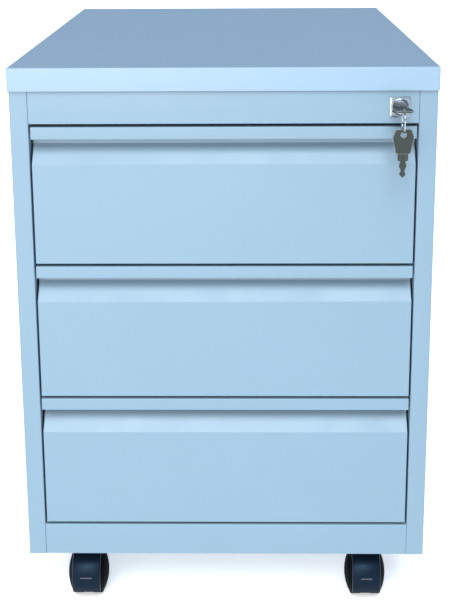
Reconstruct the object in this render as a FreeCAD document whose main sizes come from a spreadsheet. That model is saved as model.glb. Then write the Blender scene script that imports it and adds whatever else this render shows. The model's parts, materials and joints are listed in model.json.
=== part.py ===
import FreeCAD, Part
import os
import re
import Sketcher
from FreeCAD import Placement, Rotation, Vector

# A rolling pedestal cabinet: a folded-steel carcass on four swivelling twin-wheel castors, three
# drawers on side runners, and one lock in the header that moves a bar behind the right-hand stile.
#
# Millimetres. +Z is up and the drawers open towards -Y. Every sub-part is drawn with x from the
# cabinet's centre plane, y from its front face and z from the floor. FRONT then moves it so that
# the origin is on the floor, under the middle of the whole object, the hanging keys included.

SIZES = {
    # carcass
    "top_width": 430, "top_depth": 620, "total_height": 600, "base_height": 67,
    "top_drop": 24, "top_overhang": 3, "back_overhang": 1, "top_return": 16,
    "body_width": 428, "sheet": 1, "stile_width": 18.5, "stile_return": 15, "flange": 15,
    "header_height": 33.2, "header_flange": 20, "seam": 0.2,
    "stiffener_width": 40, "stiffener_half": 200, "stiffener_front": 160, "stiffener_back": 420,
    "upright_width": 25, "upright_depth": 15, "upright_front": 40, "upright_back": 490,
    "top_screw_inset": 8, "top_screw_front": 90, "top_screw_back": 560,
    # drawers
    "drawer_pitch": 145.9, "gap": 3, "side_gap": 2, "lip_height": 12.7, "lip_thick": 1.6,
    "crease_drop": 38, "slope_top": 19, "recess_depth": 15, "slope_inset": 0.35,
    "tray_half": 185, "tray_depth": 540, "tray_foot": 139, "tray_rim": 42,
    # runners
    "runner_drop": 105, "runner_front": 30, "runner_length": 500, "runner_metal": 1.2,
    "outer_half_height": 17, "outer_lip": 6.5, "inner_half_height": 12.5, "inner_reach": 7.5,
    "inner_setback": 8,
    # lock
    "lock_x": 176, "lock_plate": 21, "lock_plate_thick": 1.5, "lock_face": 3, "barrel_radius": 8.9,
    "barrel_depth": 20, "plug_radius": 6.95, "running_gap": 0.05, "nut_radius": 12, "nut_thick": 4,
    "cam_radius": 9.5, "cam_thick": 2, "pin_radius": 2, "pin_offset": 5, "pin_length": 4,
    "pin_play": 0.4, "bar_width": 12, "bar_metal": 2, "bar_y": 24, "bar_inset": 2.5,
    "bar_foot": 180, "bar_travel": 10, "arm_reach": 5,
    "hook_y": 17, "hook_reach": 12, "hook_height": 6, "hook_gap": 2, "catch_drop": 60,
    "catch_reach": 9, "catch_length": 24, "catch_plate": 12,
    "guide_height": 10, "guide_upper": 440, "guide_lower": 230, "guide_metal": 0.9,
    # keys
    "key_reach": 31.5, "key_thick": 1.8, "key_length": 47.8, "bow_end": 7.7, "bow_wide": 10.45,
    "bow_wide_at": 7.8, "bow_foot": 7.1, "bow_length": 24.3, "shoulder": 5.15,
    "shoulder_end": 30.7, "shoulder_slope": 1.5, "blade_root": 2.5, "blade_bulge": 3.5,
    "blade_bulge_at": 5.6, "blade_waist": 1.95, "blade_waist_at": 11, "blade_barb": 3,
    "blade_barb_at": 13.7, "key_hole": 2.75, "key_hole_at": 5.45, "key_fit": 0.15,
    "ring_radius": 11.5, "ring_wire": 0.8, "ring_forward": 2.9, "ring_drop": 8.5,
    "spare_drop": 1.8,
    # castors
    "castor_x": 155, "castor_y": 57, "castor_trail": 18, "wheel_radius": 25, "wheel_inside": 4,
    "wheel_rim": 16.5, "wheel_outside": 22.5, "dome_radius": 23.5, "hood_inside": 26.5,
    "hood_outside": 29.5, "hood_half": 15.5, "web_half": 3.4, "hood_start": 25,
    "hood_sweep": 180, "hub_radius": 23.5, "boss_radius": 9.5, "boss_foot": 44, "boss_top": 64,
    "axle_radius": 3, "axle_half": 15, "kingpin_radius": 4, "kingpin_foot": 53,
    "plate_side": 42, "plate_thick": 2, "screw_offset": 15, "screw_radius": 2,
    "screw_head": 3.6, "head_height": 2.1, "screw_length": 7,
    "channel_width": 52, "channel_height": 15, "channel_metal": 1.5,
}

BACK = "(top_depth - top_overhang - back_overhang)"
HALF = "(body_width / 2)"
WALL = "(body_width / 2 - sheet)"
OPENING = "(body_width / 2 - stile_width)"
UNDER_TOP = "(total_height - top_drop)"
HEADER_FOOT = "(total_height - top_drop - header_height)"
DRAWER_HALF = "(body_width / 2 - stile_width - side_gap)"
LOCK_Z = "(total_height - top_drop - header_height / 2)"
PIVOT_Y = "(-key_reach + (key_hole_at - key_hole) / 2)"
RING_Y = "(-key_reach + (key_hole_at - key_hole) / 2 - ring_forward)"
RING_Z = "(total_height - top_drop - header_height / 2 - ring_drop)"
FRONT = "(ring_radius + ring_wire - " + RING_Y + " - top_depth + top_overhang) / 2"

TURN = {"x": Rotation(Vector(1, 1, 1), 120), "y": Rotation(Vector(1, 1, 1), 240), "z": Rotation()}
SIDES = {"left": "-1", "right": "1"}
CASTORS = {
    "front_left": ("-castor_x", "castor_y"), "front_right": ("castor_x", "castor_y"),
    "rear_left": ("-castor_x", BACK + " - castor_y"), "rear_right": ("castor_x", BACK + " - castor_y"),
}

doc = FreeCAD.newDocument("pedestal")
dims = doc.addObject("Spreadsheet::Sheet", "dims")
for row, (alias, size) in enumerate(SIZES.items(), start=1):
    dims.set("A%d" % row, alias.replace("_", " "))
    dims.set("B%d" % row, str(size))
    dims.setAlias("B%d" % row, alias)
doc.recompute()
nodes = {}


def bound(text):
    """The same expression with every size's name pointing at its cell."""
    return re.sub(r"[a-z_]+", lambda w: "dims." + w.group() if w.group() in SIZES else w.group(), text)


def value(text):
    """What an expression of sizes comes to now."""
    return float(dims.evalExpression(bound(text)))


def bind(item, **properties):
    for name, text in properties.items():
        item.setExpression(name, bound(text))
    return item


def place(item, x="0", y="0", z="0", turn=Rotation()):
    item.Placement = Placement(Vector(), turn)
    for axis, text in (("x", x), ("y", y), ("z", z)):
        item.setExpression("Placement.Base." + axis, bound(text))
    return item


def box(name, x, y, z):
    """A block between two values along each axis."""
    item = doc.addObject("Part::Box", name)
    for side, (low, high) in (("Length", x), ("Width", y), ("Height", z)):
        item.setExpression(side, bound("(%s) - (%s)" % (high, low)))
    return place(item, x[0], y[0], z[0])


def cylinder(name, axis, base, radius, length, start=0, sweep="360"):
    """A cylinder, or a sector of one, from its base centre along +X, +Y or +Z."""
    item = bind(doc.addObject("Part::Cylinder", name), Radius=radius, Height=length, Angle=sweep)
    return place(item, *base, turn=TURN[axis] * Rotation(Vector(0, 0, 1), start))


def fuse(name, *items):
    item = doc.addObject("Part::MultiFuse", name)
    item.Shapes = list(items)
    return item


def cut(name, base, *tools):
    item = doc.addObject("Part::Cut", name)
    item.Base = base
    item.Tool = tools[0] if len(tools) == 1 else fuse(name + "_tool", *tools)
    return item


def group(name, *items):
    item = doc.addObject("Part::Compound", name)
    item.Links = list(items)
    return item


def sketch(body, name, role, outline, offset, holes=()):
    """A closed outline of straight edges and round holes, each point bound to the sheet."""
    item = body.newObject("Sketcher::SketchObject", name)
    plane = [f for f in body.Origin.OriginFeatures if f.Role == role][0]
    item.AttachmentSupport = [(plane, "")]
    item.MapMode = "FlatFace"
    item.setExpression("AttachmentOffset.Base.z", bound(offset))
    points = [Vector(value(u), value(v), 0) for u, v in outline]
    last = len(points) - 1
    for i, point in enumerate(points):
        item.addGeometry(Part.LineSegment(point, points[0 if i == last else i + 1]), False)
    for i in range(len(points)):
        item.addConstraint(Sketcher.Constraint("Coincident", i, 2, 0 if i == last else i + 1, 1))
    pins = [(i, 1, u, v) for i, (u, v) in enumerate(outline)]
    for u, v, radius in holes:
        circle = Part.Circle(Vector(value(u), value(v), 0), Vector(0, 0, 1), value(radius))
        edge = item.addGeometry(circle, False)
        number = item.addConstraint(Sketcher.Constraint("Radius", edge, value(radius)))
        item.setExpression("Constraints[%d]" % number, bound(radius))
        pins.append((edge, 3, u, v))
    for edge, end, u, v in pins:
        for kind, text in (("DistanceX", u), ("DistanceY", v)):
            number = item.addConstraint(Sketcher.Constraint(kind, -1, 1, edge, end, value(text)))
            item.setExpression("Constraints[%d]" % number, bound(text))
    return item


def folded(name, role, outline, low, high, holes=()):
    """A body padded from an outline: along +Z on XY_Plane, +X on YZ_Plane, +Y on XZ_Plane."""
    body = doc.addObject("PartDesign::Body", name)
    extend(body, name + "_pad", role, outline, low, high, holes)
    return body


def extend(body, name, role, outline, low, high, holes=()):
    offset = "-(%s)" % high if role == "XZ_Plane" else low
    profile = sketch(body, name + "_sketch", role, outline, offset, holes)
    pad = body.newObject("PartDesign::Pad", name)
    pad.Profile = profile
    bind(pad, Length="(%s) - (%s)" % (high, low))
    body.Tip = pad


def node(name, item, z="0"):
    """Makes an object a finished sub-part, set back from the origin by FRONT."""
    item.Label = name
    place(item, "0", FRONT, z)
    nodes[name] = item


def channel(side, web, lip, half, metal):
    """Outline in XZ of a C-section with its web at x = web and its lips reaching to x = lip."""
    inward = "(%s) + %s" % (web, metal) if side == "out" else "(%s) - %s" % (web, metal)
    rows = [(web, "-" + half), (lip, "-" + half), (lip, "-%s + %s" % (half, metal)),
            (inward, "-%s + %s" % (half, metal))]
    return rows + [(u, "-(%s)" % v) for u, v in reversed(rows)]


def mirrored(outline, sign):
    return [("%s * (%s)" % (sign, u), v) for u, v in outline]


# ---- holes that several sub-parts share ------------------------------------------------------

def castor_holes(name, radius, low, high):
    """The four screw holes over each castor, as one tool of separate cylinders."""
    reach = value("screw_offset")
    solids = []
    for x, y in CASTORS.values():
        for dx in (-reach, reach):
            for dy in (-reach, reach):
                foot = Vector(value(x) + dx, value(y) + dy, value(low))
                solids.append(Part.makeCylinder(radius, value(high) - value(low), foot))
    item = doc.addObject("Part::Feature", name)
    item.Shape = Part.makeCompound(solids)
    return item


def top_screw_places():
    x = value(HALF + " - top_screw_inset")
    return [(s * x, value(y)) for s in (-1, 1) for y in ("top_screw_front", "top_screw_back")]


def top_screw_holes(name):
    solids = []
    for x, y in top_screw_places():
        foot = Vector(x, y, value(UNDER_TOP + " - 3 * sheet"))
        solids.append(Part.makeCylinder(value("screw_radius + running_gap"), value("6 * sheet"), foot))
    item = doc.addObject("Part::Feature", name)
    item.Shape = Part.makeCompound(solids)
    return item


# ---- carcass -----------------------------------------------------------------------------------

def side_panel(side, sign):
    """One sheet: the wall, the stile with its return, and flanges behind, above and below."""
    outline = [
        (OPENING, "0"), (HALF, "0"), (HALF, BACK + " - sheet"), (HALF + " - flange", BACK + " - sheet"),
        (HALF + " - flange", BACK + " - 2 * sheet"), (WALL, BACK + " - 2 * sheet"), (WALL, "sheet"),
        (OPENING + " + sheet", "sheet"), (OPENING + " + sheet", "stile_return"),
        (OPENING, "stile_return"),
    ]
    shelf = [
        (HALF + " - flange", "sheet"), (WALL, "sheet"), (WALL, BACK + " - 2 * sheet"),
        (HALF + " - flange", BACK + " - 2 * sheet"),
    ]
    name = "side_panel_" + side
    body = folded(name + "_sheet", "XY_Plane", mirrored(outline, sign), "base_height", UNDER_TOP)
    extend(body, name + "_foot", "XY_Plane", mirrored(shelf, sign), "base_height",
           "base_height + sheet")
    extend(body, name + "_head", "XY_Plane", mirrored(shelf, sign), UNDER_TOP + " - sheet", UNDER_TOP)
    node(name, cut(name, body, top_screw_holes(name + "_holes")))


def rail_outline(foot, head, depth):
    return [
        (depth, foot), ("0", foot), ("0", head), (depth, head), (depth, head + " - sheet"),
        ("sheet", head + " - sheet"), ("sheet", foot + " + sheet"), (depth, foot + " + sheet"),
    ]


def rails():
    low = "-" + OPENING + " + seam"
    high = OPENING + " - seam"
    header = folded("header_sheet", "YZ_Plane", rail_outline(HEADER_FOOT, UNDER_TOP, "header_flange"),
                    low, high)
    bore = cylinder("header_bore", "y", ("lock_x", "-1", LOCK_Z), "barrel_radius + running_gap",
                    "2 * sheet + 2")
    node("header_rail", cut("header_rail", header, bore))
    head = HEADER_FOOT + " - 3 * drawer_pitch - gap"
    foot = folded("bottom_rail", "YZ_Plane", rail_outline("base_height", head, "flange"), low, high)
    node("bottom_rail", foot)


def panels():
    back = box("back_sheet", ("-" + HALF, HALF), (BACK + " - sheet", BACK), ("base_height", UNDER_TOP))
    node("back_panel", group("back_panel", back))
    pan = box("pan_sheet", ("-" + WALL, WALL), ("stile_return + seam", BACK + " - 2 * sheet"),
              ("base_height + sheet", "base_height + 2 * sheet"))
    drill = castor_holes("pan_holes", value("screw_radius + running_gap"), "base_height",
                         "base_height + 3 * sheet")
    node("floor_pan", cut("floor_pan", pan, drill))


def top_cover():
    """A lid with a skirt all round, its lower edge turned in to rest on the carcass."""
    wide, front = "top_width / 2", "-top_overhang"
    rear = "top_depth - top_overhang"
    skin = box("cover_block", ("-" + wide, wide), (front, rear), (UNDER_TOP, "total_height"))
    hollow = box("cover_hollow", ("-%s + sheet" % wide, wide + " - sheet"),
                 (front + " + sheet", rear + " - sheet"),
                 (UNDER_TOP + " + sheet", "total_height - sheet"))
    mouth = box("cover_mouth", ("-%s + top_return" % wide, wide + " - top_return"),
                (front + " + top_return", rear + " - top_return"),
                (UNDER_TOP, UNDER_TOP + " + 2 * sheet"))
    node("top_cover", cut("top_cover", skin, hollow, mouth, top_screw_holes("cover_holes")))


def top_stiffeners():
    """Two channels under the lid's top sheet, open downwards."""
    made = []
    for place_name in ("stiffener_front", "stiffener_back"):
        near, far = place_name, place_name + " + stiffener_width"
        foot, head = UNDER_TOP + " + 2 * sheet", "total_height - sheet"
        outline = [
            (near, foot), (near, head), (far, head), (far, foot), (far + " - sheet", foot),
            (far + " - sheet", head + " - sheet"), (near + " + sheet", head + " - sheet"),
            (near + " + sheet", foot),
        ]
        made.append(folded(place_name, "YZ_Plane", outline, "-stiffener_half", "stiffener_half"))
    node("top_stiffeners", group("top_stiffeners", *made))


def top_screws():
    solids = []
    neck = value(UNDER_TOP + " - sheet")
    for x, y in top_screw_places():
        head = Part.makeCylinder(value("screw_head"), value("head_height"),
                                 Vector(x, y, neck - value("head_height")))
        shank = Part.makeCylinder(value("screw_radius"), value("screw_length"), Vector(x, y, neck))
        solids.append(head.fuse(shank).removeSplitter())
    item = doc.addObject("Part::Feature", "top_screws")
    item.Shape = Part.makeCompound(solids)
    node("top_screws", item)


def runner_uprights(side, sign):
    """A front and a rear channel that the fixed runner members are screwed to."""
    made = []
    for near in ("upright_front", "upright_back"):
        far = near + " + upright_width"
        web = WALL + " - upright_depth"
        outline = [
            (web, near), (WALL, near), (WALL, near + " + sheet"), (web + " + sheet", near + " + sheet"),
            (web + " + sheet", far + " - sheet"), (WALL, far + " - sheet"), (WALL, far), (web, far),
        ]
        made.append(folded(near + "_" + side, "XY_Plane", mirrored(outline, sign),
                           "base_height + 2 * sheet", UNDER_TOP + " - sheet"))
    node("runner_uprights_" + side, group("runner_uprights_" + side, *made))


# ---- drawers -----------------------------------------------------------------------------------

def drawer_front(number, top):
    """One sheet bent round the lip, the finger pull behind it, the slope and the face."""
    foot = "-drawer_pitch + gap"
    rear = "recess_depth + sheet"
    outline = [
        (rear, foot), ("0", foot), ("0", "-crease_drop"), ("recess_depth", "-slope_top"),
        ("recess_depth", "-sheet"), ("lip_thick", "-sheet"), ("lip_thick", "-lip_height"),
        ("0", "-lip_height"), ("0", "0"), (rear, "0"), (rear, "-slope_top - slope_inset"),
        ("sheet", "-crease_drop - slope_inset"), ("sheet", foot + " + sheet"), (rear, foot + " + sheet"),
    ]
    cap = [
        (rear, foot), ("0", foot), ("0", "-crease_drop"), ("recess_depth", "-slope_top"),
        (rear, "-slope_top"),
    ]
    name = "drawer_front_%d" % number
    body = folded(name, "YZ_Plane", outline, "-" + DRAWER_HALF, DRAWER_HALF)
    extend(body, name + "_cap_left", "YZ_Plane", cap, "-" + DRAWER_HALF, "-" + DRAWER_HALF + " + sheet")
    extend(body, name + "_cap_right", "YZ_Plane", cap, DRAWER_HALF + " - sheet", DRAWER_HALF)
    node(name, body, top)


def drawer_box(number, top):
    """The inner panel behind the front, and the open tray."""
    name = "drawer_liner_%d" % number
    face = "recess_depth + sheet"
    inside = "tray_half - sheet"
    panel = box(name + "_sheet", ("-tray_half + sheet", inside), (face, face + " + sheet"),
                ("-drawer_pitch + gap + seam", "-seam"))
    node(name, group(name, panel), top)
    front = face + " + sheet"
    back = front + " + tray_depth"
    name = "drawer_tray_%d" % number
    outer = box(name + "_outer", ("-tray_half", "tray_half"), (front, back), ("-tray_foot", "-tray_rim"))
    inner = box(name + "_inner", ("-tray_half + sheet", inside), (front + " + sheet", back + " - sheet"),
                ("-tray_foot + sheet", "-tray_rim + sheet"))
    node(name, cut(name, outer, inner), top)


def drawer_catch(number, top):
    """A plate on the tray's right side with a tab that the lock's hook stops."""
    name = "drawer_catch_%d" % number
    y = "hook_y + bar_metal + hook_gap"
    plate = box(name + "_plate", ("tray_half", "tray_half + sheet"), (y, y + " + catch_length"),
                ("-catch_drop - catch_plate / 2", "-catch_drop + catch_plate / 2"))
    tab = box(name + "_tab", ("tray_half", "tray_half + catch_reach"), (y, y + " + bar_metal"),
              ("-catch_drop - hook_height / 2", "-catch_drop + hook_height / 2"))
    node(name, fuse(name, plate, tab), top)


def runners(number, top):
    """The fixed member on the uprights and the moving member on the tray, one pair each."""
    web = WALL + " - upright_depth"
    outer = channel("in", web, web + " - outer_lip", "outer_half_height", "runner_metal")
    inner = channel("out", "tray_half", "tray_half + inner_reach", "inner_half_height", "runner_metal")
    start = "runner_front"
    shift = "(%s) - runner_drop" % top
    for kind, outline, near in (("outer", outer, start), ("inner", inner, start + " - inner_setback")):
        name = "runner_%s_%d" % (kind, number)
        pair = [folded("%s_%s" % (name, side), "XZ_Plane", mirrored(outline, sign), near,
                       near + " + runner_length") for side, sign in SIDES.items()]
        node(name, group(name, *pair), shift)


# ---- lock --------------------------------------------------------------------------------------

def lock_barrel():
    half = "lock_plate / 2"
    plate = box("lock_plate_block", ("lock_x - " + half, "lock_x + " + half), ("-lock_plate_thick", "0"),
                (LOCK_Z + " - " + half, LOCK_Z + " + " + half))
    barrel = cylinder("lock_barrel", "y", ("lock_x", "-lock_face", LOCK_Z), "barrel_radius",
                      "lock_face + barrel_depth")
    bore = cylinder("lock_bore", "y", ("lock_x", "-lock_face - 1", LOCK_Z),
                    "plug_radius + running_gap", "lock_face + barrel_depth + 2")
    node("lock_housing", cut("lock_housing", fuse("lock_shell", plate, barrel), bore))
    nut = cylinder("lock_nut_disc", "y", ("lock_x", "sheet", LOCK_Z), "nut_radius", "nut_thick")
    thread = cylinder("lock_nut_bore", "y", ("lock_x", "0", LOCK_Z), "barrel_radius + running_gap",
                      "nut_thick + 2 * sheet")
    node("lock_nut", cut("lock_nut", nut, thread))


def lock_plug():
    """The part that turns: the plug with its keyway, and the cam with its pin behind it."""
    plug = cylinder("plug_rod", "y", ("lock_x", "-lock_face", LOCK_Z), "plug_radius",
                    "lock_face + barrel_depth + sheet")
    seat = "-key_reach + shoulder_end + shoulder_slope + key_fit"
    tall = (LOCK_Z + " - key_thick / 2 - key_fit", LOCK_Z + " + key_thick / 2 + key_fit")
    mouth = box("plug_mouth", ("lock_x - shoulder - key_fit", "lock_x + shoulder + key_fit"),
                ("-lock_face - 1", seat), tall)
    slot = box("plug_slot", ("lock_x - blade_bulge - key_fit", "lock_x + blade_bulge + key_fit"),
               ("-lock_face", "-key_reach + key_length + key_fit"), tall)
    node("lock_cylinder", cut("lock_cylinder", plug, mouth, slot))
    y = "barrel_depth + sheet"
    disc = cylinder("cam_disc", "y", ("lock_x", y, LOCK_Z), "cam_radius", "cam_thick")
    pin = cylinder("cam_pin", "y", ("lock_x + pin_offset", y, LOCK_Z + " + pin_offset"), "pin_radius",
                   "cam_thick + pin_length")
    node("lock_cam", fuse("lock_cam", disc, pin))


def lock_bar():
    """A flat bar behind the right stile, its arm slotted for the cam's pin, with three hooks."""
    left = WALL + " - bar_inset + sheet - bar_width"
    right = WALL + " - bar_inset + sheet"
    level = LOCK_Z + " + pin_offset"
    arm = ("(%s) - bar_width / 2" % level, "(%s) + bar_width / 2" % level)
    reach = "lock_x - arm_reach"
    outline = [(reach, arm[0]), (left, arm[0]), (left, "bar_foot"), (right, "bar_foot"),
               (right, arm[1]), (reach, arm[1])]
    plate = folded("bar_plate", "XZ_Plane", outline, "bar_y", "bar_y + bar_metal")
    play = "pin_radius + pin_play"
    slot = box("bar_slot",
               ("lock_x + pin_offset - (%s)" % play, "lock_x + pin_offset * sqrt(2) + " + play),
               ("bar_y - 1", "bar_y + bar_metal + 1"),
               ("%s - (%s)" % (level, play), "%s + %s" % (level, play)))
    node("lock_bar", cut("lock_bar", plate, slot))
    hooks = []
    for number in range(3):
        z = HEADER_FOOT + " - gap - %d * drawer_pitch - catch_drop + bar_travel" % number
        outline = [
            (left + " - hook_reach + bar_metal", "hook_y"), (left + " + bar_metal", "hook_y"),
            (left + " + bar_metal", "bar_y"), (left, "bar_y"), (left, "hook_y + bar_metal"),
            (left + " - hook_reach + bar_metal", "hook_y + bar_metal"),
        ]
        hooks.append(folded("hook_%d" % (number + 1), "XY_Plane", outline, z + " - hook_height / 2",
                            z + " + hook_height / 2"))
    node("lock_hooks", group("lock_hooks", *hooks))
    guides = []
    for z in ("guide_upper", "guide_lower"):
        near, far = "bar_y - 2 * running_gap", "bar_y + bar_metal + 2 * running_gap"
        block = box(z + "_block", (left + " - 2 * running_gap - guide_metal", WALL),
                    (near + " - guide_metal", far + " + guide_metal"),
                    (z + " - guide_height / 2", z + " + guide_height / 2"))
        space = box(z + "_space", (left + " - 2 * running_gap", right + " + 2 * running_gap"),
                    (near, far), (z + " - guide_height", z + " + guide_height"))
        guides.append(cut(z + "_bracket", block, space))
    node("lock_bar_guides", group("lock_bar_guides", *guides))


def key_body(name):
    """A flat key: u across it and v from the end of its bow to its tip."""
    half = [
        ("bow_end", "0"), ("bow_wide", "bow_wide_at"), ("bow_foot", "bow_length"),
        ("shoulder", "bow_length"), ("shoulder", "shoulder_end"),
        ("blade_root", "shoulder_end + shoulder_slope"),
        ("blade_bulge", "shoulder_end + blade_bulge_at"),
        ("blade_waist", "shoulder_end + blade_waist_at"),
        ("blade_barb", "shoulder_end + blade_barb_at"),
    ]
    outline = half + [("0", "key_length")] + [("-" + u, v) for u, v in reversed(half)]
    return folded(name, "XY_Plane", outline, "-key_thick / 2", "key_thick / 2",
                  holes=[("0", "key_hole_at", "key_hole")])


def keys():
    node("key", key_body("key"))
    place(nodes["key"], "lock_x", FRONT + " - key_reach", LOCK_Z)
    ring = bind(doc.addObject("Part::Torus", "key_ring"), Radius1="ring_radius", Radius2="ring_wire")
    node("key_ring", ring)
    place(ring, "lock_x", FRONT + " + " + RING_Y, RING_Z, TURN["x"])
    node("spare_key", key_body("spare_key"))
    place(nodes["spare_key"], "lock_x", FRONT + " + " + RING_Y,
          RING_Z + " - ring_radius - spare_drop + key_hole_at", Rotation(Vector(1, 0, 0), -90))


# ---- castors -----------------------------------------------------------------------------------

def castor_mounting():
    """Plates with kingpins, their screws, and the channels that stiffen the floor pan."""
    top = "base_height + sheet"
    plates = []
    for name, (x, y) in CASTORS.items():
        half = "plate_side / 2"
        plate = box("plate_" + name, ("%s - %s" % (x, half), "%s + %s" % (x, half)),
                    ("%s - %s" % (y, half), "%s + %s" % (y, half)), (top + " - plate_thick", top))
        pin = cylinder("kingpin_" + name, "z", (x, y, "kingpin_foot"), "kingpin_radius",
                       top + " - kingpin_foot")
        plates.append(fuse("mount_" + name, plate, pin))
    clear = value("screw_radius + running_gap")
    drill = castor_holes("plate_holes", clear, top + " - 2 * plate_thick", top + " + plate_thick")
    node("castor_plates", cut("castor_plates", group("castor_mounts", *plates), drill))
    base = "base_height + 2 * sheet"
    channels = []
    for name, y in (("front", "castor_y"), ("rear", BACK + " - castor_y")):
        near, far = y + " - channel_width / 2", y + " + channel_width / 2"
        head = base + " + channel_height"
        floor = base + " + channel_metal"
        outline = [
            (near, head), (near, base), (far, base), (far, head), (far + " - channel_metal", head),
            (far + " - channel_metal", floor), (near + " + channel_metal", floor),
            (near + " + channel_metal", head),
        ]
        wide = WALL + " - upright_depth - 2 * seam"
        channels.append(folded("channel_" + name, "YZ_Plane", outline, "-(%s)" % wide, wide))
    drill = castor_holes("channel_holes", clear, base + " - 1", base + " + 3")
    node("castor_channels", cut("castor_channels", group("castor_channel_pair", *channels), drill))
    neck = top + " - plate_thick"
    heads = castor_holes("screw_heads", value("screw_head"), neck + " - head_height", neck)
    shanks = castor_holes("screw_shanks", value("screw_radius"), neck, neck + " + screw_length")
    screws = [head.fuse(shank).removeSplitter()
              for head, shank in zip(heads.Shape.Solids, shanks.Shape.Solids)]
    item = doc.addObject("Part::Feature", "castor_screws")
    item.Shape = Part.makeCompound(screws)
    node("castor_screws", item)


def castor(name, x, y):
    """A swivelling hood on the kingpin, with an axle across it and a wheel on each side."""
    hub = (x, y + " - castor_trail", "wheel_radius")

    def along(low):
        return ("%s + (%s)" % (x, low), hub[1], hub[2])

    hood = cylinder("hood_" + name, "x", along("-hood_half"), "hood_outside", "2 * hood_half",
                    start=value("hood_start"), sweep="hood_sweep")
    core = cylinder("core_" + name, "x", along("-web_half"), "hub_radius", "2 * web_half")
    boss = cylinder("boss_" + name, "z", (x, y, "boss_foot"), "boss_radius", "boss_top - boss_foot")
    spaces = [cylinder("space_%s_%s" % (side, name), "x", along(low), "hood_inside", "hood_half")
              for side, low in (("left", "-web_half - hood_half"), ("right", "web_half"))]
    bore = cylinder("bore_" + name, "x", along("-hood_half"), "axle_radius", "2 * hood_half")
    socket = cylinder("socket_" + name, "z", (x, y, "kingpin_foot - 0.5"),
                      "kingpin_radius + running_gap", "boss_top - kingpin_foot + 1")
    housing = "castor_housing_" + name
    node(housing, cut(housing, fuse("shell_" + name, hood, core, boss), *spaces, bore, socket))
    axle = "castor_axle_" + name
    rod = cylinder("rod_" + name, "x", along("-axle_half"), "axle_radius", "2 * axle_half")
    node(axle, group(axle, rod))
    cap = "(wheel_outside - wheel_rim)"
    ball = "((dome_radius ^ 2 + %s ^ 2) / (2 * %s))" % (cap, cap)
    for side, sign in SIDES.items():
        label = "castor_wheel_%s_%s" % (name, side)
        low = {"left": "-wheel_rim", "right": "wheel_inside"}[side]
        tread = cylinder("tread_" + label, "x", along(low), "wheel_radius", "wheel_rim - wheel_inside")
        sphere = bind(doc.addObject("Part::Sphere", "ball_" + label), Radius=ball)
        place(sphere, *along("%s * (wheel_outside - %s)" % (sign, ball)), turn=TURN["x"])
        low = {"left": "-wheel_outside", "right": "wheel_rim"}[side]
        disc = cylinder("disc_" + label, "x", along(low), "dome_radius", cap)
        dome = doc.addObject("Part::Common", "dome_" + label)
        dome.Base, dome.Tool = sphere, disc
        low = {"left": "-axle_half - 0.5", "right": "0"}[side]
        seat = cylinder("seat_" + label, "x", along(low), "axle_radius + running_gap", "axle_half + 0.5")
        node(label, cut(label, fuse("solid_" + label, tread, dome), seat))


# ---- assembly ----------------------------------------------------------------------------------

for side_name, side_sign in SIDES.items():
    side_panel(side_name, side_sign)
    runner_uprights(side_name, side_sign)
rails()
panels()
top_cover()
top_stiffeners()
top_screws()
for drawer in (1, 2, 3):
    drawer_top = HEADER_FOOT + " - gap - %d * drawer_pitch" % (drawer - 1)
    for make in (drawer_front, drawer_box, drawer_catch, runners):
        make(drawer, drawer_top)
lock_barrel()
lock_plug()
lock_bar()
keys()
castor_mounting()
for castor_name, (castor_x, castor_y) in CASTORS.items():
    castor(castor_name, castor_x, castor_y)

doc.recompute()
failed = [item.Name for item in doc.Objects if {"Invalid", "Error"} & set(item.State)]
failed += [name for name, item in nodes.items() if item.Shape.isNull() or not item.Shape.isValid()]
if failed:
    raise SystemExit("not built: " + ", ".join(failed))
os.makedirs("parts", exist_ok=True)
for name, item in nodes.items():
    item.Shape.exportStep("parts/%s.step" % name)
    print("%-32s %2d solids %12.1f mm3" % (name, len(item.Shape.Solids), item.Shape.Volume))
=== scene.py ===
import json
import math
import bmesh
import bpy
from mathutils import Matrix, Vector


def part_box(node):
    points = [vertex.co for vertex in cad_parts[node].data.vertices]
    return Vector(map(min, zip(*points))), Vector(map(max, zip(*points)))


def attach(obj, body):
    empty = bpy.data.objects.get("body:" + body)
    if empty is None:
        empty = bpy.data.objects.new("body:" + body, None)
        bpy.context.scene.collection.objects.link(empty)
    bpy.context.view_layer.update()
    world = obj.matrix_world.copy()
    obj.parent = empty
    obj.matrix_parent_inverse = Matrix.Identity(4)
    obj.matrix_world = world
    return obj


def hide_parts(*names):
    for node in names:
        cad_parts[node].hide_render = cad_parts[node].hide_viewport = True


# A rolling pedestal cabinet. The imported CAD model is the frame; the pieces below are its visible
# skins: folded sheet with real bend radii, moulded castors, the lock, its keys and their ring.

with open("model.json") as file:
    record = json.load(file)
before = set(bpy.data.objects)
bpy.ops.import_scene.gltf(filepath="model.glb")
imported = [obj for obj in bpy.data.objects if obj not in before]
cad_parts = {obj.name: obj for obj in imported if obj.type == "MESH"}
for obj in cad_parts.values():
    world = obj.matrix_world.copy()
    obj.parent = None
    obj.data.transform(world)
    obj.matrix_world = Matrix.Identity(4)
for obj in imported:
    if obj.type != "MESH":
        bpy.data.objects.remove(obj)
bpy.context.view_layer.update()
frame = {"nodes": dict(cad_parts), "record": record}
MM = 0.001
SHEET = 1.0 * MM
BEND = 0.6 * MM
TRIM = 0.003 * MM
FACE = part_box("header_rail")[0].y
CASTORS = ("front_left", "front_right", "rear_left", "rear_right")
SIDES = {"left": -1, "right": 1}


# ---- mesh tools --------------------------------------------------------------------------------

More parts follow.
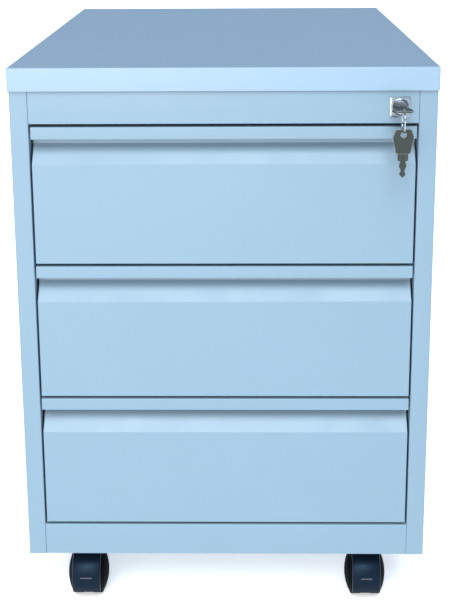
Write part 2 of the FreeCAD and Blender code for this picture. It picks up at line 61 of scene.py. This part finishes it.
def make_piece(name, shape, body, slot, replaced=(), angle=32):
    """A mesh object that rides on a CAD body and may stand for CAD nodes."""
    vertices, faces = shape
    mesh = bpy.data.meshes.new(name)
    mesh.from_pydata([tuple(v) for v in vertices], [], faces)
    clean(mesh, math.radians(angle))
    mesh.materials.append(MATERIALS[slot])
    piece = bpy.data.objects.new(name, mesh)
    bpy.context.scene.collection.objects.link(piece)
    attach(piece, body)
    if replaced:
        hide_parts(*replaced)
    return piece


def clean(mesh, sharp):
    """Joins doubled points, turns faces outwards and keeps edges over the angle sharp."""
    shape = bmesh.new()
    shape.from_mesh(mesh)
    bmesh.ops.remove_doubles(shape, verts=shape.verts, dist=1e-7)
    bmesh.ops.recalc_face_normals(shape, faces=shape.faces)
    for face in shape.faces:
        face.smooth = True
    for edge in shape.edges:
        edge.smooth = len(edge.link_faces) == 2 and edge.calc_face_angle(0) < sharp
    shape.to_mesh(mesh)
    shape.free()


def bevel(piece, width, segments=3, angle=40, material=-1):
    """Rounds edges over the angle, with normals that keep the flat faces flat."""
    step = piece.modifiers.new("edge", "BEVEL")
    step.width = width
    step.segments = segments
    step.limit_method = "ANGLE"
    step.angle_limit = math.radians(angle)
    step.harden_normals = True
    step.material = material
    return piece


def carve(piece, shape):
    """Takes a closed shape out of a piece."""
    mesh = bpy.data.meshes.new("tool")
    mesh.from_pydata([tuple(v) for v in shape[0]], [], shape[1])
    clean(mesh, math.pi)
    tool = bpy.data.objects.new("tool", mesh)
    bpy.context.scene.collection.objects.link(tool)
    step = piece.modifiers.new("carve", "BOOLEAN")
    step.operation = "DIFFERENCE"
    step.solver = "EXACT"
    step.object = tool
    bpy.context.view_layer.update()
    carved = bpy.data.meshes.new_from_object(piece.evaluated_get(bpy.context.evaluated_depsgraph_get()))
    piece.modifiers.clear()
    piece.data = carved
    bpy.data.objects.remove(tool)
    clean(carved, math.radians(32))
    return piece


def rounded_path(points, radii, steps=6):
    """An open 2D polyline with an arc at each inner point: one radius, or one for each."""
    inner = radii if isinstance(radii, (list, tuple)) else [radii] * (len(points) - 2)
    path = [Vector(points[0])]
    for before, corner, after, radius in zip(points, points[1:], points[2:], inner):
        corner = Vector(corner)
        back, ahead = Vector(before) - corner, Vector(after) - corner
        turn = math.pi - back.angle(ahead)
        reach = min(radius * math.tan(turn / 2), 0.499 * back.length, 0.499 * ahead.length)
        if reach < 1e-7:
            path.append(corner)
            continue
        radius = reach / math.tan(turn / 2)
        middle = (back.normalized() + ahead.normalized()).normalized()
        centre = corner + middle * (radius / math.cos(turn / 2))
        start = corner + back.normalized() * reach - centre
        side = 1 if back.x * ahead.y - back.y * ahead.x < 0 else -1
        path += [centre + Matrix.Rotation(side * turn * i / steps, 2) @ start for i in range(steps + 1)]
    return path + [Vector(points[-1])]


def ribbon(points, metal, radii):
    """The two sides of a bent sheet whose middle line is the path."""
    path = rounded_path(points, radii)
    left, right = [], []
    for i, point in enumerate(path):
        back = (point - path[max(i - 1, 0)]).normalized() if i else (path[1] - point).normalized()
        ahead = (path[i + 1] - point).normalized() if i + 1 < len(path) else back
        along = (back + ahead).normalized()
        normal = Vector((-along.y, along.x)) * (metal / 2 / max(0.5, along.dot(back)))
        left.append(point + normal)
        right.append(point - normal)
    return left, right


def sweep(ring, to_space, low, high, pairs=None):
    """A closed 2D ring moved from low to high; pairs says which ring points face each other."""
    count = len(ring)
    vertices = [to_space(p[0], p[1], w) for w in (low, high) for p in ring]
    faces = [(i, (i + 1) % count, count + (i + 1) % count, count + i) for i in range(count)]
    for cap in pairs or [tuple(range(count))]:
        faces += [cap, tuple(count + i for i in reversed(cap))]
    return vertices, faces


def bent_sheet(points, metal, radii, to_space, low, high):
    left, right = ribbon(points, metal, radii)
    ring = left + right[::-1]
    last = len(ring) - 1
    pairs = [(i, i + 1, last - i - 1, last - i) for i in range(len(left) - 1)]
    return sweep(ring, to_space, low, high, pairs)


def loft(loops, closed=True):
    """Faces between loops of points, with a face at each end."""
    count = len(loops[0])
    vertices = [point for loop in loops for point in loop]
    faces = []
    for row in range(len(loops) - 1):
        for k in range(count):
            a, b = row * count + k, row * count + (k + 1) % count
            faces.append((a, b, b + count, a + count))
    if closed:
        faces.append(tuple(range(count)))
        faces.append(tuple(len(vertices) - 1 - k for k in range(count)))
    return vertices, faces


def merge(*shapes):
    vertices, faces = [], []
    for points, polygons in shapes:
        faces += [tuple(len(vertices) + i for i in polygon) for polygon in polygons]
        vertices += list(points)
    return vertices, faces


def block(low, high):
    """A box between two corners."""
    ring = [(low[0], low[1]), (high[0], low[1]), (high[0], high[1]), (low[0], high[1])]
    return sweep(ring, lambda x, y, z: (x, y, z), low[2], high[2])


def lathe(profile, to_space, segments=64, start=0.0, turn=math.tau, closed=True):
    """A profile of (along, radius) turned about an axis; a closed profile is a ring's section."""
    full = turn == math.tau
    rings = segments if full else segments + 1
    vertices, faces = [], []
    for i in range(rings):
        a = start + turn * i / segments
        vertices += [to_space(u, r * math.cos(a), r * math.sin(a)) for u, r in profile]
    count = len(profile)
    for i in range(segments):
        here, there = i * count, (i + 1) % rings * count
        for k in range(count if closed else count - 1):
            j = (k + 1) % count
            faces.append((here + k, here + j, there + j, there + k))
    if not full:
        faces += [tuple(range(count)), tuple(range(rings * count - 1, (rings - 1) * count - 1, -1))]
    return vertices, faces


def rounded_rectangle(half_x, half_y, radius, steps=6):
    radius = max(radius, 0.02 * MM)
    points = []
    for k, (sx, sy) in enumerate(((1, 1), (-1, 1), (-1, -1), (1, -1))):
        for i in range(steps + 1):
            a = math.pi / 2 * (k + i / steps)
            points.append((sx * (half_x - radius) + radius * math.cos(a),
                           sy * (half_y - radius) + radius * math.sin(a)))
    return points


def place(x=0.0, y=0.0, z=0.0, axes="xyz", sign=1):
    """A function that puts local (u, v, w) along the named axes, from an origin."""
    origin = {"x": x, "y": y, "z": z}

    def to_space(*local):
        spot = dict(origin)
        for axis, part in zip(axes, local):
            spot[axis] += sign * part if axis == axes[0] else part
        return spot["x"], spot["y"], spot["z"]
    return to_space


# ---- materials ---------------------------------------------------------------------------------

class Nodes:
    """Short names for building a material's node tree."""

    def __init__(self, name):
        self.material = bpy.data.materials.new(name)
        self.material.use_nodes = True
        self.tree = self.material.node_tree
        self.shader = self.tree.nodes["Principled BSDF"]
        self.place = self.add("ShaderNodeTexCoord").outputs["Object"]

    def add(self, kind, **settings):
        made = self.tree.nodes.new(kind)
        for key, setting in settings.items():
            setattr(made, key, setting)
        return made

    def link(self, source, target):
        self.tree.links.new(source, target)

    def noise(self, scale, detail=2.0, roughness=0.5, stretch=None):
        made = self.add("ShaderNodeTexNoise")
        made.inputs["Scale"].default_value = scale
        made.inputs["Detail"].default_value = detail
        made.inputs["Roughness"].default_value = roughness
        place = self.place
        if stretch:
            mapping = self.add("ShaderNodeMapping")
            mapping.inputs["Scale"].default_value = stretch
            self.link(place, mapping.inputs["Vector"])
            place = mapping.outputs["Vector"]
        self.link(place, made.inputs["Vector"])
        return made.outputs["Fac"]

    def remap(self, source, low, high, start=0.0, end=1.0):
        made = self.add("ShaderNodeMapRange", clamp=True)
        for key, number in zip(("From Min", "From Max", "To Min", "To Max"), (start, end, low, high)):
            made.inputs[key].default_value = number
        self.link(source, made.inputs["Value"])
        return made.outputs["Result"]

    def mix(self, factor, first, second):
        """A colour between two, each a colour or another node's output."""
        made = self.add("ShaderNodeMix", data_type="RGBA")
        sockets = made.inputs[0], made.inputs[6], made.inputs[7]
        for socket, source in zip(sockets, (factor, first, second)):
            if isinstance(source, (float, int)):
                socket.default_value = source
            elif isinstance(source, (tuple, list)):
                socket.default_value = (*source, 1.0)
            else:
                self.link(source, socket)
        return made.outputs[2]

    def math(self, operation, first, second):
        made = self.add("ShaderNodeMath", operation=operation)
        for socket, source in zip(made.inputs, (first, second)):
            if isinstance(source, (float, int)):
                socket.default_value = source
            else:
                self.link(source, socket)
        return made.outputs[0]

    def bump(self, height, strength, distance, below=None):
        made = self.add("ShaderNodeBump")
        made.inputs["Strength"].default_value = strength
        made.inputs["Distance"].default_value = distance
        self.link(height, made.inputs["Height"])
        if below is not None:
            self.link(below, made.inputs["Normal"])
        return made.outputs["Normal"]

    def edges(self, radius, low=0.0, high=1.0, gain=(0.01, 0.12)):
        """Near 1 along edges and 0 on flat faces."""
        rounder = self.add("ShaderNodeBevel", samples=4)
        rounder.inputs["Radius"].default_value = radius
        geometry = self.add("ShaderNodeNewGeometry")
        dot = self.add("ShaderNodeVectorMath", operation="DOT_PRODUCT")
        self.link(rounder.outputs["Normal"], dot.inputs[0])
        self.link(geometry.outputs["Normal"], dot.inputs[1])
        away = self.math("SUBTRACT", 1.0, dot.outputs["Value"])
        return self.remap(away, low, high, *gain)

    def set(self, **inputs):
        for key, source in inputs.items():
            socket = self.shader.inputs[key.replace("_", " ")]
            if isinstance(source, bpy.types.NodeSocket):
                self.link(source, socket)
            else:
                socket.default_value = source
        return self.material


def shade(colour, factor):
    return tuple(min(1.0, c * factor) for c in colour)


def powder_coat(name, colour, roughness=0.42, wear=0.35):
    """Stoved powder paint: an orange-peel skin, faint cloudiness and edges rubbed a little paler."""
    n = Nodes(name)
    cloud = n.remap(n.noise(9.0, 3.0), 0.0, 1.0, 0.3, 0.7)
    speck = n.remap(n.noise(1500.0, 1.0), 0.0, 1.0, 0.35, 0.65)
    base = n.mix(cloud, shade(colour, 0.985), shade(colour, 1.012))
    base = n.mix(n.math("MULTIPLY", speck, 0.25), base, shade(colour, 0.955))
    rub = n.math("MULTIPLY", n.edges(0.9 * MM), n.remap(n.noise(70.0, 4.0), 0.1, 1.0, 0.4, 0.65))
    base = n.mix(n.math("MULTIPLY", rub, wear), base, shade(colour, 1.18))
    rough = n.remap(n.noise(26.0, 4.0), roughness - 0.04, roughness + 0.05, 0.3, 0.7)
    peel = n.bump(n.noise(620.0, 2.0), 0.09, 0.05 * MM)
    fine = n.bump(n.noise(2600.0, 1.0), 0.05, 0.02 * MM, peel)
    return n.set(Base_Color=base, Roughness=rough, Normal=fine, Specular_IOR_Level=0.5)


def plated(name, colour, roughness, brushed=None, wear=0.3):
    """Bright plate with faint rubbing marks, a slightly uneven sheen and paler edges: rubbing wear and
    a painted highlight.
    """
    n = Nodes(name)
    marks = n.noise(240.0, 5.0, 0.65, brushed or (1.0, 1.0, 1.0))
    base = n.mix(n.remap(marks, 0.0, 0.6), shade(colour, 0.9), colour)
    # paler edges: partly rubbing wear, partly a painted highlight along the bevels
    base = n.mix(n.math("MULTIPLY", n.edges(0.5 * MM), wear), base, shade(colour, 1.2))
    rough = n.remap(marks, roughness * 0.75, roughness * 1.35, 0.3, 0.7)
    normal = n.bump(marks, 0.06, 0.05 * MM)
    return n.set(Base_Color=base, Metallic=1.0, Roughness=rough, Normal=normal)


def zinc_plate(name):
    """Zinc-plated pressed steel: a fine crystalline spangle."""
    n = Nodes(name)
    spangle = n.add("ShaderNodeTexVoronoi")
    spangle.inputs["Scale"].default_value = 230.0
    n.link(n.place, spangle.inputs["Vector"])
    tone = n.remap(spangle.outputs["Distance"], 0.0, 1.0, 0.0, 0.9)
    base = n.mix(tone, (0.50, 0.52, 0.55), (0.60, 0.61, 0.63))
    rough = n.remap(n.noise(90.0, 3.0), 0.30, 0.46, 0.3, 0.7)
    return n.set(Base_Color=base, Metallic=0.95, Roughness=rough, Normal=n.bump(tone, 0.04, 0.05 * MM))


def key_metal(name):
    """Dark plated brass: the plate is rubbed through to a pale edge."""
    n = Nodes(name)
    grain = n.noise(900.0, 4.0, 0.6)
    dark = n.mix(n.remap(grain, 0.0, 1.0, 0.3, 0.7), (0.018, 0.024, 0.022), (0.034, 0.041, 0.037))
    rub = n.edges(0.45 * MM, 0.0, 1.0, (0.02, 0.10))
    base = n.mix(rub, dark, (0.11, 0.11, 0.09))
    rough = n.remap(grain, 0.38, 0.55, 0.3, 0.7)
    return n.set(Base_Color=base, Metallic=0.75, Roughness=rough, Normal=n.bump(grain, 0.08, 0.04 * MM),
                 Coat_Weight=0.35, Coat_Roughness=0.25)


def moulded_plastic(name, colour, roughness, sheen, tint, wear=0.1):
    """Moulded nylon: a faint spark-eroded texture, and edges gone a little grey."""
    n = Nodes(name)
    grain = n.noise(1300.0, 3.0, 0.6)
    cloud = n.remap(n.noise(60.0, 4.0), 0.0, 1.0, 0.3, 0.7)
    base = n.mix(cloud, shade(colour, 0.8), shade(colour, 1.15))
    base = n.mix(n.math("MULTIPLY", n.edges(0.7 * MM), wear), base, shade(colour, 3.0))
    rough = n.remap(n.noise(200.0, 3.0), roughness - 0.06, roughness + 0.08, 0.3, 0.7)
    return n.set(Base_Color=base, Roughness=rough, Normal=n.bump(grain, 0.10, 0.03 * MM),
                 Specular_IOR_Level=sheen, Specular_Tint=(*tint, 1.0))


PAINT = (0.165, 0.250, 0.320)
# the lid's paint is a lighter, bluer copy of PAINT: painted light that makes the lid's skirt and top
# come out brighter than the body
LIT_LID_PAINT = (0.222, 0.314, 0.412)
MATERIALS = {
    "body_paint": powder_coat("body_paint", PAINT),
    "drawer_paint": powder_coat("drawer_paint", PAINT),
    "top_paint": powder_coat("top_paint", LIT_LID_PAINT),
    "tray_paint": powder_coat("tray_paint", shade(PAINT, 0.96), 0.48),
    "chrome": plated("chrome", (0.42, 0.46, 0.50), 0.16),
    "fastener_steel": plated("fastener_steel", (0.62, 0.63, 0.65), 0.28),
    "zinc_steel": zinc_plate("zinc_steel"),
    "key_metal": key_metal("key_metal"),
    "hood_plastic": moulded_plastic("hood_plastic", (0.003, 0.007, 0.014), 0.36, 0.17,
                                    (0.4, 0.65, 1.0)),
    "wheel_plastic": moulded_plastic("wheel_plastic", (0.0015, 0.0018, 0.002), 0.55, 0.02,
                                     (0.8, 0.9, 1.0)),
}
key_edge = plated("key_edge", (0.46, 0.43, 0.36), 0.32)
lock_chrome = plated("lock_chrome", (0.30, 0.35, 0.39), 0.26)
# the rib's pale grey is a painted highlight, the light dash along the hood's lower front, on top of its
# own gloss
rib_highlight_plastic = moulded_plastic("rib_highlight_plastic", (0.06, 0.065, 0.085), 0.4, 0.4, (1.0, 1.0, 1.0))


# ---- carcass -----------------------------------------------------------------------------------

def side_panel(side, sign):
    """Wall, stile and its return bent from one sheet, with the flanges above and below."""
    node = "side_panel_" + side
    low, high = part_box(node)
    inner, outer = sorted((abs(low.x), abs(high.x)))
    half, fold = SHEET / 2, 15 * MM
    rear = high.y - half
    plan = [
        (inner + half, FACE + fold), (inner + half, FACE + half), (outer - half, FACE + half),
        (outer - half, rear), (outer - fold, rear),
    ]
    space = place(axes="xyz", sign=sign)
    wall = bent_sheet(plan, SHEET, BEND, space, low.z, high.z)
    shelves = [block((sign * (outer - fold), FACE + 2 * SHEET, z),
                     (sign * (outer - half), rear, z + SHEET)) for z in (low.z, high.z - SHEET)]
    make_piece(node + "_skin", merge(wall, *shelves), "cabinet", "body_paint", [node])


def rail(node):
    """A channel across the front, its flanges turned back."""
    low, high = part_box(node)
    half = SHEET / 2
    section = [
        (high.y, low.z + half), (FACE + half, low.z + half), (FACE + half, high.z - half),
        (high.y, high.z - half),
    ]
    sheet = bent_sheet(section, SHEET, BEND, place(axes="yzx"), low.x, high.x)
    return make_piece(node + "_skin", sheet, "cabinet", "body_paint", [node])


def top_cover():
    """A lid with a folded skirt and a turned-in lower edge."""
    low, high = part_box("top_cover")
    half, turned_in, reach = SHEET / 2, 16 * MM, 8 * MM
    ceiling = high.z - half - TRIM
    section = [(turned_in, low.z + half), (half, low.z + half), (half, ceiling), (reach, ceiling)]
    outer, inner = ribbon(section, SHEET, BEND)
    middle = (low + high) / 2
    size = (high - low) / 2 - Vector((TRIM, TRIM, TRIM))
    corner = 1.6 * MM

    def loop(point):
        inset, z = point
        return [(middle.x + x, middle.y + y, z) for x, y in
                rounded_rectangle(size.x - inset, size.y - inset, corner - inset)]

    shape = loft([loop(p) for p in reversed(outer)] + [loop(p) for p in inner])
    make_piece("top_cover_skin", shape, "cabinet", "top_paint", ["top_cover"])


# ---- drawers -----------------------------------------------------------------------------------

def drawer_front(number):
    """The face and the sloped finger pull, and above them the lip with its hemmed edge."""
    node = "drawer_front_%d" % number
    body = "drawer_%d" % number
    low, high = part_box(node)
    recess, hem = FACE + 15 * MM, 0.8 * MM
    slope_top, crease, lip_foot = high.z - 19 * MM, high.z - 38 * MM, high.z - 12.7 * MM
    rise = (slope_top - crease) / (recess - FACE)
    section = rounded_path([
        (high.y, low.z), (FACE, low.z), (FACE, crease), (high.y, crease + rise * (high.y - FACE)),
    ], [0, 1.6 * MM], 8)
    face = make_piece(node + "_face", sweep(section, place(axes="yzx"), low.x, high.x), body,
                      "drawer_paint", [node])
    bevel(face, 0.8 * MM, 4, 25)
    fold = [
        (high.y, high.z - hem / 2), (FACE + hem / 2, high.z - hem / 2),
        (FACE + hem / 2, lip_foot + hem / 2), (FACE + 1.5 * hem, lip_foot + hem / 2),
        (FACE + 1.5 * hem, high.z - 2.5 * hem),
    ]
    lip = bent_sheet(fold, hem, [0.8 * hem, 0.49 * hem, 0.49 * hem], place(axes="yzx"), low.x, high.x)
    wall = block((low.x, recess, slope_top - SHEET), (high.x, high.y, high.z - hem / 2))
    lip = make_piece(node + "_lip", merge(lip, wall), body, "drawer_paint", [node])
    bevel(lip, 0.22 * MM, 2, 60)


# ---- lock and keys -----------------------------------------------------------------------------

def lock_housing():
    """A bevelled square plate, a round bezel and the threaded barrel behind them."""
    low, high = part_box("lock_housing")
    x, z, half = (low.x + high.x) / 2, (low.z + high.z) / 2, (high.x - low.x) / 2
    steps = ((0, 0.0), (0, 0.6 * MM), (0.25 * MM, 1.1 * MM), (1.3 * MM, 1.5 * MM), (3 * MM, 1.5 * MM))
    plate = loft([[(x + u, FACE - front, z + v) for u, v in
                   rounded_rectangle(half - inset, half - inset, 0.9 * MM)] for inset, front in steps])
    front, outer, bore = low.y - FACE, 8.9 * MM, 7.0 * MM
    profile = [
        (front + 1.6 * MM, outer), (front + 0.55 * MM, outer), (front + 0.15 * MM, outer - 0.35 * MM),
        (front, outer - 0.8 * MM), (front + 0.1 * MM, outer - 1.2 * MM),
        (front + 0.5 * MM, bore + 0.15 * MM), (front + 1.2 * MM, bore), (high.y - FACE, bore),
    ]
    ridges = int(14 / 0.8)
    for i in range(ridges, 0, -1):
        along = 5 * MM + i * 0.8 * MM
        profile += [(along, outer - 0.35 * MM), (along - 0.4 * MM, outer)]
    barrel = lathe(profile, place(x, FACE, z, "yxz"))
    housing = make_piece("lock_housing_skin", merge(plate, barrel), "cabinet", "chrome",
                         ["lock_housing"])
    housing.data.materials[0] = lock_chrome
    rail_piece = bpy.data.objects["header_rail_skin"]
    hole = lathe([(-2 * MM, 0), (-2 * MM, outer), (6 * MM, outer), (6 * MM, 0)],
                 place(x, FACE, z, "yxz"), closed=False)
    carve(rail_piece, hole)


def key_outline(points, rounding):
    """Both halves of an outline whose points are given for one side."""
    ring = points + [(-u, v) for u, v in reversed(points)]
    ring = [(u * MM, v * MM) for u, v in ring]
    middle = (Vector(ring[0]) + Vector(ring[-1])) / 2
    return rounded_path([middle] + ring + [middle], rounding * MM, 4)[:-1]


def key_piece(node, body, space):
    """A bow with a raised rim and a hole, then a thinner shoulder and a grooved blade."""
    bow = sweep(key_outline([(7.7, 0.0), (10.45, 7.8), (7.1, 24.3)], 1.7), space, -0.9 * MM, 0.9 * MM)
    bow_piece = make_piece(node + "_bow", bow, body, "key_metal", [node])
    hole = lathe([(-3 * MM, 0), (-3 * MM, 2.75 * MM), (3 * MM, 2.75 * MM), (3 * MM, 0)],
                 lambda t, u, v: space(u, v + 5.45 * MM, t), 40, closed=False)
    carve(bow_piece, hole)
    bow_piece.data.materials.append(key_edge)
    bevel(bow_piece, 0.75 * MM, 3, 40, 1)
    shoulder = sweep(key_outline([(5.15, 23.8), (5.15, 30.7), (3.2, 31.8)], 0.4), space,
                     -0.6 * MM, 0.6 * MM)
    blade = sweep(key_outline([
        (2.6, 23.8), (2.6, 31.6), (2.5, 32.4), (3.5, 35.4), (3.5, 37.2), (1.95, 40.4), (1.95, 42.4),
        (3.0, 43.8), (3.0, 45.0), (0.4, 47.8),
    ], 0.5), space, -0.8 * MM, 0.8 * MM)
    shank = make_piece(node + "_blade", merge(shoulder, blade), body, "key_metal", [node])
    bevel(shank, 0.22 * MM, 2, 40)


def keys():
    low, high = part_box("key")
    middle = (low + high) / 2
    key_piece("key", "lock_key", place(middle.x, low.y, middle.z, "xyz"))
    low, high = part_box("spare_key")
    middle = (low + high) / 2
    key_piece("spare_key", "spare_key", lambda u, v, t: (middle.x + u, middle.y + t, high.z - v))


def split_ring():
    """Two flat turns of wire that cross over once."""
    low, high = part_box("key_ring")
    middle = (low + high) / 2
    wire, turns, round_steps, sides = 0.37 * MM, 2, 96, 12
    radius = (high.z - low.z) / 2 - 0.8 * MM
    offset = 0.41 * MM
    loops = []
    for i in range(turns * round_steps + 1):
        a = math.tau * i / round_steps + math.pi
        cross = min(1.0, max(0.0, (i / round_steps - 1) / 0.12 + 0.5))
        x = middle.x + offset * (2 * cross * cross * (3 - 2 * cross) - 1)
        loops.append([(x + wire * math.sin(b),
                       middle.y + (radius + wire * math.cos(b)) * math.cos(a),
                       middle.z + (radius + wire * math.cos(b)) * math.sin(a))
                      for b in (math.tau * k / sides for k in range(sides))])
    make_piece("split_ring", loft(loops), "key_ring", "chrome", ["key_ring"])


# ---- castors -----------------------------------------------------------------------------------

def castor(name):
    """A hood over a web and a swivel boss, a rib across its front and a wheel on each side."""
    housing, body = "castor_housing_" + name, "castor_" + name
    left, right = ("castor_wheel_%s_%s" % (name, side) for side in SIDES)
    low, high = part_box(left)[0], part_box(right)[1]
    x, y, z = (low + high) / 2
    boss_radius, kingpin, boss_foot, boss_top = 9.5 * MM, 4.05 * MM, 44 * MM, 64 * MM
    swivel_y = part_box(housing)[1].y - boss_radius
    space = place(x, y, z, "xyz")
    start, turn = math.radians(25), math.radians(180)
    reach, inner, outer = 15.5 * MM, 26.5 * MM, 29.5 * MM
    rim = [
        (-reach, inner), (-reach, outer - 1.4 * MM), (0.4 * MM - reach, outer - 0.5 * MM),
        (1.4 * MM - reach, outer),
    ]
    hood = lathe(rim + [(-u, r) for u, r in reversed(rim)], space, 48, start, turn)
    web_half, axle, core_radius = 3.4 * MM, 3 * MM, 23.5 * MM
    web = [(-web_half, axle), (-web_half, inner + MM), (web_half, inner + MM), (web_half, axle)]
    plate = lathe(web, space, 48, start, turn)
    core = lathe([(u, min(r, core_radius)) for u, r in web], space)
    boss = lathe([(boss_foot, kingpin), (boss_foot, boss_radius), (boss_top, boss_radius),
                  (boss_top, kingpin)], place(x, swivel_y, 0.0, "zxy"))
    piece = make_piece(housing + "_shell", merge(hood, plate, core, boss), body, "hood_plastic",
                       [housing])
    bevel(piece, 0.5 * MM, 3, 50)
    rib_half, rib_foot, rib_face = 6.2 * MM, outer - 0.3 * MM, outer + 0.5 * MM
    rib = lathe([(-rib_half, rib_foot), (-rib_half, rib_face), (rib_half, rib_face),
                 (rib_half, rib_foot)], space, 4, math.radians(167.5), math.radians(2.1))
    rib_piece = make_piece("castor_rib_" + name, rib, body, "hood_plastic")
    # pale rib plastic: a painted highlight for the light dash on the hood's front
    rib_piece.data.materials[0] = rib_highlight_plastic
    for side, sign in SIDES.items():
        wheel(name, side, place(x, y, z, "xyz", sign), high.x - x - TRIM, z - low.z)


def wheel(name, side, space, outside, tread):
    """Tread with round shoulders, and a shallow dome with two ring grooves."""
    edge, cap, groove = 23.5 * MM, 6 * MM, 0.55 * MM
    ball = (edge ** 2 + cap ** 2) / (2 * cap)
    profile = [
        (4 * MM, 3.05 * MM), (4 * MM, 22.5 * MM), (4.4 * MM, 23.9 * MM), (5.3 * MM, 24.8 * MM),
        (6.4 * MM, tread), (14.6 * MM, tread), (15.8 * MM, 24.7 * MM), (16.4 * MM, 24.1 * MM),
    ]
    steps = 44
    for i in range(steps + 1):
        r = edge * (1 - i / steps)
        outer_groove = max(0.0, 1 - abs(r - 20.8 * MM) / (0.9 * MM))
        inner_groove = max(0.0, 1 - abs(r - 7 * MM) / (0.8 * MM))
        dome = outside - ball + math.sqrt(ball ** 2 - r ** 2)
        profile.append((dome - groove * (outer_groove + inner_groove), r))
    node = "castor_wheel_%s_%s" % (name, side)
    shape = lathe(profile + [(15.5 * MM, 0), (15.5 * MM, 3.05 * MM)], space, 96)
    make_piece(node + "_moulding", shape, "wheel_%s_%s" % (name, side), "wheel_plastic", [node], 40)


for side_name, side_sign in SIDES.items():
    side_panel(side_name, side_sign)
for rail_node in ("header_rail", "bottom_rail"):
    rail(rail_node)
top_cover()
for drawer_number in (1, 2, 3):
    drawer_front(drawer_number)
lock_housing()
keys()
split_ring()
for castor_name in CASTORS:
    castor(castor_name)

# the CAD nodes that still show take the finish of their slot, and their cut edges a small round
for part in frame["record"]["subparts"]:
    shown = frame["nodes"][part["node"]]
    shown.data.materials.clear()
    shown.data.materials.append(MATERIALS[part["material_slot"]])
    if not shown.hide_render:
        weld = shown.modifiers.new("weld", "WELD")
        weld.merge_threshold = 0.002 * MM
        bevel(shown, 0.2 * MM, 2, 50)


# ---- floor, light and camera -------------------------------------------------------------------

def pale_floor():
    """A wide sheet of white paper, bright enough to keep the background clean."""
    paper = Nodes("paper")
    tone = paper.mix(paper.remap(paper.noise(3.0, 3.0), 0.0, 1.0, 0.3, 0.7), (0.93, 0.93, 0.93),
                     (0.95, 0.95, 0.95))
    paper.set(Base_Color=tone, Roughness=0.9, Specular_IOR_Level=0.1,
              Emission_Color=(1.0, 1.0, 1.0, 1.0), Emission_Strength=0.45,
              Normal=paper.bump(paper.noise(400.0, 3.0), 0.03, 0.2 * MM))
    reach = 60.0
    mesh = bpy.data.meshes.new("floor")
    mesh.from_pydata([(-reach, -reach, 0), (reach, -reach, 0), (reach, reach, 0), (-reach, reach, 0)],
                     [], [(0, 1, 2, 3)])
    mesh.materials.append(paper.material)
    floor = bpy.data.objects.new("floor", mesh)
    bpy.context.scene.collection.objects.link(floor)


def soft_light():
    """An even bluish sky, a high soft key from the left and a warm panel behind the camera."""
    world = bpy.data.worlds.new("studio")
    world.use_nodes = True
    sky = world.node_tree.nodes["Background"].inputs
    sky["Color"].default_value = (0.66, 0.80, 1.0, 1.0)
    sky["Strength"].default_value = 0.5
    bpy.context.scene.world = world
    key = bpy.data.lights.new("key_light", "SUN")
    key.energy = 3.6
    key.color = (0.86, 0.95, 1.0)
    key.angle = math.radians(38)
    lamp = bpy.data.objects.new("key_light", key)
    lamp.rotation_euler = (math.radians(90 - 52), 0, math.radians(-4))
    bpy.context.scene.collection.objects.link(lamp)
    panel = bpy.data.lights.new("panel_light", "AREA")
    panel.energy = 13
    panel.color = (1.0, 0.93, 0.85)
    panel.shape = "RECTANGLE"
    panel.size, panel.size_y = 1.2, 0.8
    box = bpy.data.objects.new("panel_light", panel)
    box.location = (-0.4, FACE - 1.3, 0.7)
    aim = Vector((0, FACE, 0.45)) - box.location
    box.rotation_euler = aim.to_track_quat("-Z", "Y").to_euler()
    bpy.context.scene.collection.objects.link(box)


def camera():
    """Eye height a little above the lid, looking slightly down, as the reference was taken."""
    lens = bpy.data.cameras.new("camera")
    lens.sensor_width, lens.lens = 36.0, 74.89
    lens.shift_y = -0.1833
    eye = bpy.data.objects.new("camera", lens)
    pitch, yaw, roll = (math.radians(a) for a in (13.634, -0.964, 0.341))
    level = Vector((math.sin(yaw), math.cos(yaw), 0))
    ahead = level * math.cos(pitch) - Vector((0, 0, math.sin(pitch)))
    across = Vector((math.cos(yaw), -math.sin(yaw), 0))
    down = ahead.cross(across)
    right = math.cos(roll) * across + math.sin(roll) * down
    up = math.sin(roll) * across - math.cos(roll) * down
    turn = Matrix((right, up, -ahead)).transposed()
    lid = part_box("top_cover")[1].z
    spot = (22.2 * MM, FACE - 1227.8 * MM, lid + 172.7 * MM)
    eye.matrix_world = Matrix.Translation(spot) @ turn.to_4x4()
    bpy.context.scene.collection.objects.link(eye)
    bpy.context.scene.camera = eye


pale_floor()
soft_light()
camera()
bpy.context.scene.view_settings.view_transform = "Standard"
bpy.context.view_layer.update()
